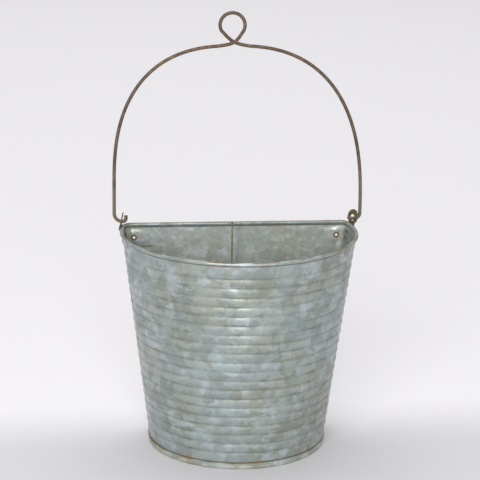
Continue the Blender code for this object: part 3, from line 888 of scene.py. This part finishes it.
class OBJECT_OT_bucket_wall(bpy.types.Operator):
    """Build the ribbed sheet wall with its rolled rim, lap seam and nail holes"""
    bl_idname = "object.bucket_wall"
    bl_label = "Bucket Wall"

    def execute(self, context):
        settings = context.scene.florist_bucket
        finish = wall_finish(settings)
        wall = new_object("bucket_wall", wall_surface(settings))
        press = wall.modifiers.new("Pressing", 'NODES')
        press.node_group = pressed_wall_tree()
        set_inputs(press, {"Grooves": settings.rib_count, "Pitch": settings.rib_pitch,
                           "Lowest Groove": settings.lowest_groove,
                           "Groove Depth": settings.groove_depth, "Boss Depth": BOSS_DEPTH,
                           "Boss Radius": BOSS_RADIUS, "Unevenness": settings.unevenness,
                           "Material": finish})
        thicken(wall, SHEET)
        turn = Matrix.Rotation(math.radians(90), 4, 'X')
        cutters = [cylinder_cutter(HANG_HOLE_RADIUS, 0.012, 28,
                                   Matrix.Translation((side * HANG_HOLE_X, BACK_Y, HANG_HOLE_Z))
                                   @ turn) for side in (-1, 1)]
        cut_holes(wall, cutters)
        smooth_shading(wall)
        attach(wall, "bucket")
        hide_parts("body_shell")
        return {'FINISHED'}


# ------------------------------------------------------------------ base tray

class OBJECT_OT_bucket_tray(bpy.types.Operator):
    """Build the base tray whose upturned flange holds the wall"""
    bl_idname = "object.bucket_tray"
    bl_label = "Base Tray"

    def execute(self, context):
        settings = context.scene.florist_bucket
        rows = []
        profile = [(-TRAY_BEND * (1 - math.sin(a)), TRAY_BEND * (1 - math.cos(a)))
                   for a in (math.radians(step) for step in TRAY_BEND_STEPS)]
        profile += [(0.0, z) for z in TRAY_HEIGHTS]
        places = stations()[:-1]
        for inset in TRAY_INSETS:
            rows.append([(spot * (1 - inset / BASE_HIGH.x), 0.0) for spot, _ in
                         (outline_point(zone, share, wall_radius(0)) for zone, share in places)])
        for shift, z in profile:
            ring = []
            for zone, share in places:
                spot, normal = outline_point(zone, share, wall_radius(z))
                ring.append((spot + normal * (FLANGE_OFFSET + shift), z))
            rows.append(ring)
        mesh = grow("base_tray", [[Vector((*spot, z)) for spot, z in row] for row in rows],
                    closed=True)
        bm = bmesh.new()
        bm.from_mesh(mesh)
        bm.verts.ensure_lookup_table()
        bm.faces.new([bm.verts[i] for i in range(len(places))])
        bm.to_mesh(mesh)
        bm.free()
        tray = new_object("base_tray", mesh, tray_finish(settings))
        thicken(tray, SHEET)
        bake_modifiers(tray)
        smooth_shading(tray)
        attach(tray, "bucket")
        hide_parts("base_plate")
        return {'FINISHED'}


# ------------------------------------------------------------------ ears

def ear_frame(angle):
    """Frame at the rim's centre line: X outwards, Y along the rim, Z up."""
    spot = touch_point(angle)
    return Matrix.Translation((spot.x, spot.y, RIM_Z)) @ Matrix.Rotation(angle, 4, 'Z')


def wall_shift(drop):
    """Outward place of the wall's outer face in an ear's frame, below the rim."""
    return wall_radius(RIM_Z + drop) - touch_point(0.0).x


def ear_profile(lean):
    """Centre line of the ear's side view as (outward, up), from its tail to its top."""
    over_rim = CURL_RADIUS + SHEET + GAP + EAR_THICKNESS / 2
    on_wall = GAP + EAR_THICKNESS / 2
    top = EAR_HEAD_ABOVE_RIM + EAR_HALF_WIDTH
    return [
        (wall_shift(EAR_TAIL) + on_wall, EAR_TAIL),
        (wall_shift(EAR_NECK) + on_wall, EAR_NECK),
        (over_rim, -EAR_SHOULDER),
        (over_rim, EAR_SHOULDER),
        (over_rim - (top - EAR_SHOULDER) * math.tan(lean), top),
    ]


def profile_at(profile, up):
    """Outward place of a side view at a height."""
    for (out_a, up_a), (out_b, up_b) in zip(profile, profile[1:]):
        if up <= up_b:
            return out_a + (out_b - out_a) * (up - up_a) / (up_b - up_a)
    return profile[-1][0]


def bent_profile_at(profile, up):
    """The side view with its bends rounded."""
    tries = [profile_at(profile, min(max(up + EAR_BEND * share, EAR_TAIL), profile[-1][1]))
             for share in (-1.0, -0.5, 0.0, 0.5, 1.0)]
    return sum(tries) / len(tries)


def ear_half_width(up):
    """Half of the ear's width: a round head, a straight shank and a tapered tail."""
    if up > EAR_HEAD_ABOVE_RIM:
        return math.sqrt(max(EAR_HALF_WIDTH ** 2 - (up - EAR_HEAD_ABOVE_RIM) ** 2, 0.0))
    into_tail = EAR_TAIL + EAR_TAPER - up
    if into_tail > 0:
        return EAR_HALF_WIDTH * math.sqrt(1 - EAR_TAIL_NARROWING * (into_tail / EAR_TAPER) ** 2)
    return EAR_HALF_WIDTH


def ear_heights():
    """Heights of the ear's rows, closer together round its bends and its head."""
    straight = 44
    heights = [EAR_TAIL + (EAR_HEAD_ABOVE_RIM - EAR_TAIL) * i / straight
               for i in range(straight + 1)]
    head = 12
    last = math.radians(86)
    heights += [EAR_HEAD_ABOVE_RIM + EAR_HALF_WIDTH * math.sin(last * i / head)
                for i in range(1, head + 1)]
    return heights


def make_ear(label, angle, lean, twist, finish):
    """Riveted sheet ear, joggled out over the rim, with a loose hole for the bail."""
    profile = ear_profile(lean)
    rows = []
    for up in ear_heights():
        half = ear_half_width(up)
        share = min(max((up - TWIST_FROM) / (TWIST_TO - TWIST_FROM), 0.0), 1.0)
        turned = twist * share * share * (3 - 2 * share)
        across = Vector((-math.sin(turned), math.cos(turned), 0)) * half
        middle = Vector((bent_profile_at(profile, up), 0, up))
        rows.append([middle + across * side for side in (1, 0.5, 0, -0.5, -1)])
    ear = new_object("ear_%s_sheet" % label, grow("ear_sheet", rows), finish)
    place_in_mesh(ear, ear_frame(angle))
    thicken(ear, EAR_THICKNESS, 0.0)
    hole = Matrix.Translation((profile_at(profile, EAR_HOLE_ABOVE_RIM), 0, EAR_HOLE_ABOVE_RIM))
    hole = hole @ Matrix.Rotation(twist, 4, 'Z')
    hole = hole @ Matrix.Rotation(math.radians(90) - lean, 4, 'Y')
    cut_holes(ear, [cylinder_cutter(EAR_HOLE_RADIUS, 0.006, 40, ear_frame(angle) @ hole)])
    edge = ear.modifiers.new("Edge", 'BEVEL')
    edge.width = EAR_EDGE
    edge.segments = 2
    edge.limit_method = 'ANGLE'
    edge.angle_limit = math.radians(50)
    bake_modifiers(ear)
    smooth_shading(ear)
    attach(ear, "bucket")
    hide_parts("ear_" + label)


class OBJECT_OT_bucket_ears(bpy.types.Operator):
    """Build the two bent sheet ears that carry the bail"""
    bl_idname = "object.bucket_ears"
    bl_label = "Ears"

    def execute(self, context):
        settings = context.scene.florist_bucket
        finish = old_steel_finish(settings, "old_steel_ear", EAR_STEEL)
        for label, (angle, lean, twist) in EARS.items():
            make_ear(label, angle, lean, twist, finish)
        return {'FINISHED'}


# ------------------------------------------------------------------ rivets

def rivet_tree():
    """Geometry nodes that set a domed rivet on each point, pointing along its attribute."""
    tree, start, end = new_group(
        "Rivets", 'GeometryNodeTree',
        [("Geometry", "Geometry", None), ("Head Radius", "Float", 0.0024),
         ("Head Height", "Float", 0.0012), ("Shank Radius", "Float", 0.0012),
         ("Grip", "Float", 0.003), ("Tail Radius", "Float", 0.0019),
         ("Tail Height", "Float", 0.0006), ("Material", "Material", None)],
        [("Geometry", "Geometry")])
    given = start.outputs
    ball = node(tree, "GeometryNodeMeshUVSphere", {"Segments": 28, "Rings": 16, "Radius": 1.0})
    size = combine(tree, given["Head Radius"], given["Head Radius"], given["Head Height"])
    dome = node(tree, "GeometryNodeTransform", {"Geometry": ball.outputs[0], "Scale": size})
    place = tree.nodes.new("GeometryNodeInputPosition").outputs[0]
    height = node(tree, "ShaderNodeSeparateXYZ", {0: place}).outputs[2]
    below = highest(tree, times(tree, height, -1.0), 0.0)
    head = node(tree, "GeometryNodeSetPosition", {"Geometry": dome.outputs[0],
                                                  "Offset": combine(tree, z=below)})
    half_grip = times(tree, given["Grip"], -0.5)
    tail_z = math_node(tree, 'MULTIPLY_ADD', given["Tail Height"], -0.5,
                       times(tree, given["Grip"], -1.0))
    stem = []
    for radius, depth, middle in ((given["Shank Radius"], given["Grip"], half_grip),
                                  (given["Tail Radius"], given["Tail Height"], tail_z)):
        rod = node(tree, "GeometryNodeMeshCylinder",
                   {"Vertices": 20, "Radius": radius, "Depth": depth})
        stem.append(node(tree, "GeometryNodeTransform",
                         {"Geometry": rod.outputs[0], "Translation": combine(tree, z=middle)}))
    whole = tree.nodes.new("GeometryNodeJoinGeometry")
    for piece in (head, *stem):
        tree.links.new(piece.outputs[0], whole.inputs[0])
    points = node(tree, "GeometryNodeMeshToPoints", {"Mesh": given["Geometry"]})
    turned = node(tree, "FunctionNodeAlignRotationToVector",
                  {"Vector": named(tree, "axis", 'FLOAT_VECTOR')}, axis='Z')
    set_out = node(tree, "GeometryNodeInstanceOnPoints",
                   {"Points": points.outputs[0], "Instance": whole.outputs[0],
                    "Rotation": turned.outputs[0]})
    end_tree(tree, end, set_out.outputs[0], given["Material"])
    return tree


class OBJECT_OT_bucket_rivets(bpy.types.Operator):
    """Set the rivets that hold the ears to the wall"""
    bl_idname = "object.bucket_rivets"
    bl_label = "Rivets"

    def execute(self, context):
        settings = context.scene.florist_bucket
        finish = old_steel_finish(settings, "old_steel_rivet", RIVET_STEEL)
        slope = math.atan((wall_shift(EAR_TAIL) - wall_shift(0.0)) / EAR_TAIL)
        points = []
        axes = []
        for angle, _, _ in EARS.values():
            for drop in RIVET_DROPS:
                seat = wall_shift(drop) + 2 * GAP + EAR_THICKNESS
                turn = Matrix.Rotation(math.radians(90) + slope, 4, 'Y')
                matrix = ear_frame(angle) @ Matrix.Translation((seat, 0, drop)) @ turn
                points.append(matrix.translation.copy())
                axes += list(matrix.to_3x3() @ Vector((0, 0, 1)))
        mesh = bpy.data.meshes.new("rivets")
        mesh.from_pydata(points, [], [])
        mesh.attributes.new("axis", 'FLOAT_VECTOR', 'POINT').data.foreach_set("vector", axes)
        rivets = new_object("ear_rivets", mesh)
        setting = rivets.modifiers.new("Setting", 'NODES')
        setting.node_group = rivet_tree()
        set_inputs(setting, {"Head Radius": RIVET_HEAD_RADIUS, "Head Height": RIVET_HEAD_HEIGHT,
                             "Shank Radius": RIVET_SHANK_RADIUS,
                             "Grip": EAR_THICKNESS + SHEET + 2 * GAP + RIVET_TAIL_GAP,
                             "Tail Radius": RIVET_TAIL_RADIUS, "Tail Height": RIVET_TAIL_HEIGHT,
                             "Material": finish})
        bake_modifiers(rivets)
        smooth_shading(rivets)
        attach(rivets, "bucket")
        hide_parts("rivet_left_1", "rivet_left_2", "rivet_right_1", "rivet_right_2")
        return {'FINISHED'}


# ------------------------------------------------------------------ bail

def arc(centre_x, centre_z, radius, start, end, steps):
    """Points (x, 0, z) on an arc from one angle to another, in degrees."""
    points = []
    for i in range(steps + 1):
        angle = math.radians(start + (end - start) * i / steps)
        points.append(Vector((centre_x + radius * math.cos(angle), 0.0,
                              centre_z + radius * math.sin(angle))))
    return points


def smooth_span(points, steps):
    """Catmull-Rom curve through the inner points; the two end points only steer it."""
    curve = []
    for a, b, c, d in zip(points, points[1:], points[2:], points[3:]):
        for i in range(steps):
            t = i / steps
            curve.append(0.5 * (2 * b + (c - a) * t + (2 * a - 5 * b + 4 * c - d) * t * t
                                + (3 * b - a - 3 * c + d) * t * t * t))
    curve.append(points[-2])
    return curve


def left_hook(hole_x):
    """Left end, turned up inside the ear, from its cut tip to the foot of the leg."""
    tip_x = hole_x + HOOK_INSET
    foot_x = BAIL_LEFT_X + LEFT_BEND
    inner = [Vector((tip_x, 0, HOOK_RISE))]
    inner += arc(tip_x - HOOK_BEND, HOOK_BEND, HOOK_BEND, 0, -90, 12)
    return inner + arc(foot_x, LEFT_BEND, LEFT_BEND, -90, -180, 16)


def right_stub(hole_x):
    """Right end, cut off just inside the ear, from its tip to the foot of the leg."""
    foot_x = BAIL_RIGHT_X - RIGHT_BEND
    tip = Vector((hole_x - STUB_INSET, 0, 0))
    return [tip] + arc(foot_x, RIGHT_BEND, RIGHT_BEND, -90, 0, 16)


def shoulder(leg_x, leg):
    """Quarter of a superellipse from the top of a leg to just short of the crossing."""
    span = leg_x - CROSSING_X
    last = math.acos(abs(SHOULDER_END / span) ** (ARCH_FULLNESS / 2))
    points = []
    for i in range(SHOULDER_POINTS + 1):
        angle = last * i / SHOULDER_POINTS
        x = CROSSING_X + span * math.cos(angle) ** (2 / ARCH_FULLNESS)
        z = leg + (ARCH_TOP - leg) * math.sin(angle) ** (2 / ARCH_FULLNESS)
        points.append(Vector((x, 0, z)))
    return points


def hanging_loop(left_end, left_before, right_end, right_before):
    """The bail's top: both strands cross and make a ring, the left one in front."""
    ring = arc(LOOP_CENTRE_X, LOOP_CENTRE_Z, LOOP_RADIUS, LOOP_START, LOOP_END, LOOP_POINTS)
    for i, point in enumerate(ring):
        point.y = STRAND_OFFSET * (2 * i / LOOP_POINTS - 1) * LOOP_LEAD
    crossing_front = Vector((CROSSING_X, -STRAND_OFFSET, CROSSING_Z))
    crossing_back = Vector((CROSSING_X, STRAND_OFFSET, CROSSING_Z))
    stride = LOOP_POINTS // 20
    rise = smooth_span([left_before, left_end, crossing_front, ring[0], ring[stride]], 16)
    fall = smooth_span([ring[-1 - stride], ring[-1], crossing_back, right_end, right_before], 16)
    return rise[1:-1] + ring + fall[1:-1]


def hole_place(label):
    """Where the bail's axis crosses an ear, in the bucket's frame."""
    angle, lean, _ = EARS[label]
    out = profile_at(ear_profile(lean), BAIL_AXIS_ABOVE_RIM)
    return ear_frame(angle) @ Vector((out, 0, BAIL_AXIS_ABOVE_RIM))


def bail_line():
    """Centre line of the bail in the bucket's frame, from the left tip to the right tip."""
    left = left_hook(hole_place("left").x)
    right = right_stub(hole_place("right").x)
    left_arch = shoulder(BAIL_LEFT_X, LEFT_LEG)
    right_arch = shoulder(BAIL_RIGHT_X, RIGHT_LEG)
    stride = SHOULDER_POINTS // 18
    loop = hanging_loop(left_arch[-1], left_arch[-1 - stride], right_arch[-1],
                        right_arch[-1 - stride])
    points = left + left_arch + loop + right_arch[::-1] + right[::-1]
    return [point + HINGE for point in points]


def wire_tree():
    """Geometry nodes that sweep a slightly uneven wire along a line."""
    tree, start, end = new_group(
        "Bent Wire", 'GeometryNodeTree',
        [("Geometry", "Geometry", None), ("Radius", "Float", 0.00175),
         ("Sides", "Int", 18), ("Pitting", "Float", 0.00005),
         ("Material", "Material", None)],
        [("Geometry", "Geometry")])
    given = start.outputs
    line = node(tree, "GeometryNodeMeshToCurve", {"Mesh": given["Geometry"]})
    ring = node(tree, "GeometryNodeCurvePrimitiveCircle",
                {"Resolution": given["Sides"], "Radius": given["Radius"]}, mode='RADIUS')
    swept = node(tree, "GeometryNodeCurveToMesh",
                 {"Curve": line.outputs[0], "Profile Curve": ring.outputs[0], "Fill Caps": True})
    place = tree.nodes.new("GeometryNodeInputPosition").outputs[0]
    pits = minus(tree, noise(tree, place, 260.0, 3.0, 0.5), 0.5)
    depth = times(tree, pits, times(tree, given["Pitting"], 2.0))
    facing = tree.nodes.new("GeometryNodeInputNormal").outputs[0]
    moved = vector_math(tree, 'SCALE', facing, scale=depth)
    pitted = node(tree, "GeometryNodeSetPosition", {"Geometry": swept.outputs[0],
                                                    "Offset": moved})
    end_tree(tree, end, pitted.outputs[0], given["Material"])
    return tree


class OBJECT_OT_bucket_bail(bpy.types.Operator):
    """Bend the wire bail with its hooked end and hanging loop"""
    bl_idname = "object.bucket_bail"
    bl_label = "Bail"

    def execute(self, context):
        settings = context.scene.florist_bucket
        points = bail_line()
        mesh = bpy.data.meshes.new("bail_wire")
        mesh.from_pydata(points, [(i, i + 1) for i in range(len(points) - 1)], [])
        bail = new_object("bail_wire", mesh)
        sweep = bail.modifiers.new("Wire", 'NODES')
        sweep.node_group = wire_tree()
        set_inputs(sweep, {"Radius": settings.wire_radius, "Material": wire_finish(settings)})
        bake_modifiers(bail)
        bm = bmesh.new()
        bm.from_mesh(bail.data)
        bmesh.ops.remove_doubles(bm, verts=bm.verts, dist=0.000001)
        bmesh.ops.recalc_face_normals(bm, faces=bm.faces)
        bm.to_mesh(bail.data)
        bm.free()
        smooth_shading(bail, 60)
        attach(bail, "bail")
        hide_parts("bail_handle")
        return {'FINISHED'}


class OBJECT_OT_bucket_rim_wire(bpy.types.Operator):
    """Give the stiffening wire inside the rolled rim its finish"""
    bl_idname = "object.bucket_rim_wire"
    bl_label = "Rim Wire"

    def execute(self, context):
        settings = context.scene.florist_bucket
        finish = old_steel_finish(settings, "old_steel_rim_wire", RIM_WIRE_STEEL)
        wire = frame["nodes"]["rim_wire"]
        wire.data.materials.clear()
        wire.data.materials.append(finish)
        return {'FINISHED'}


# ------------------------------------------------------------------ stage

def stage_finish():
    """Pale paper, painted greyer in front of the bucket than behind it: painted light on the paper
    behind, standing in for a brightly lit backdrop, and painted shade in front.
    """
    finish, tree, shader, _, axes = new_material("paper_floor")
    # Painted light on the paper behind the bucket and painted shade in front of it
    front = smooth_range(tree, axes[1], -0.04, 0.11, 1.0, 0.0)
    tree.links.new(mixed(tree, front, PAPER_BEHIND_PAINTED_LIGHT, PAPER_IN_FRONT_PAINTED_SHADE),
                   shader.inputs["Base Color"])
    shader.inputs["Roughness"].default_value = 0.9
    shader.inputs["Specular IOR Level"].default_value = 0.2
    return finish


def add_area_light(name, place, target, size, power):
    light = bpy.data.lights.new(name, 'AREA')
    light.shape = 'RECTANGLE'
    light.size, light.size_y = size
    light.energy = power
    lamp = bpy.data.objects.new(name, light)
    lamp.location = place
    lamp.rotation_euler = (Vector(target) - Vector(place)).to_track_quat('-Z', 'Y').to_euler()
    bpy.context.scene.collection.objects.link(lamp)


def add_camera():
    """Camera in front and slightly to the left, looking a little down."""
    turn, rise = CAMERA_TURN, CAMERA_ELEVATION
    ahead = Vector((math.sin(turn) * math.cos(rise), math.cos(turn) * math.cos(rise),
                    -math.sin(rise)))
    right = Vector((math.cos(turn), -math.sin(turn), 0))
    up = right.cross(ahead)
    rolled_right = right * math.cos(CAMERA_ROLL) + up * math.sin(CAMERA_ROLL)
    rolled_up = up * math.cos(CAMERA_ROLL) - right * math.sin(CAMERA_ROLL)
    place = right * CAMERA_ASIDE + Vector((0, 0, CAMERA_AIM_Z)) - ahead * CAMERA_DISTANCE
    lens = bpy.data.cameras.new("camera")
    lens.lens = CAMERA_LENS
    lens.sensor_width = 36.0
    lens.clip_start = 0.05
    lens.clip_end = 20.0
    camera = bpy.data.objects.new("camera", lens)
    matrix = Matrix((rolled_right, rolled_up, -ahead)).transposed().to_4x4()
    matrix.translation = place
    camera.matrix_world = matrix
    bpy.context.scene.collection.objects.link(camera)
    bpy.context.scene.camera = camera


class OBJECT_OT_bucket_stage(bpy.types.Operator):
    """Set up the camera, the paper floor and the soft studio light"""
    bl_idname = "object.bucket_stage"
    bl_label = "Stage"

    def execute(self, context):
        add_camera()
        rows = [[Vector((x, y, 0.0)) for x in (FLOOR_HALF, -FLOOR_HALF)]
                for y in (-FLOOR_HALF, FLOOR_HALF)]
        floor = new_object("paper_floor", grow("paper_floor", rows), stage_finish())
        world = bpy.data.worlds.new("studio")
        world.use_nodes = True
        background = world.node_tree.nodes["Background"]
        background.inputs["Color"].default_value = WORLD_COLOUR
        background.inputs["Strength"].default_value = WORLD_STRENGTH
        context.scene.world = world
        context.scene.view_settings.view_transform = 'Standard'
        for softbox in SOFTBOXES:
            add_area_light(*softbox)
        return {'FINISHED'}


# ------------------------------------------------------------------ add-on

class VIEW3D_PT_florist_bucket(bpy.types.Panel):
    """Steps that build the bucket, in order"""
    bl_idname = "VIEW3D_PT_florist_bucket"
    bl_label = "Florist Bucket"
    bl_space_type = 'VIEW_3D'
    bl_region_type = 'UI'
    bl_category = "Bucket"

    def draw(self, context):
        settings = context.scene.florist_bucket
        for name in BucketSettings.__annotations__:
            self.layout.prop(settings, name)
        for step in STEPS:
            self.layout.operator(step.bl_idname)


STEPS = (
    OBJECT_OT_bucket_stage,
    OBJECT_OT_bucket_wall,
    OBJECT_OT_bucket_tray,
    OBJECT_OT_bucket_rim_wire,
    OBJECT_OT_bucket_ears,
    OBJECT_OT_bucket_rivets,
    OBJECT_OT_bucket_bail,
)
CLASSES = (BucketSettings, *STEPS, VIEW3D_PT_florist_bucket)


def register():
    for item in CLASSES:
        bpy.utils.register_class(item)
    bpy.types.Scene.florist_bucket = PointerProperty(type=BucketSettings)


def unregister():
    del bpy.types.Scene.florist_bucket
    for item in reversed(CLASSES):
        bpy.utils.unregister_class(item)


def main():
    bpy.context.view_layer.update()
    register()
    spangle_group()
    rust_group()
    grain_group()
    bpy.ops.object.bucket_stage()
    bpy.ops.object.bucket_wall()
    bpy.ops.object.bucket_tray()
    bpy.ops.object.bucket_rim_wire()
    bpy.ops.object.bucket_ears()
    bpy.ops.object.bucket_rivets()
    bpy.ops.object.bucket_bail()


if __name__ == "__main__":
    main()
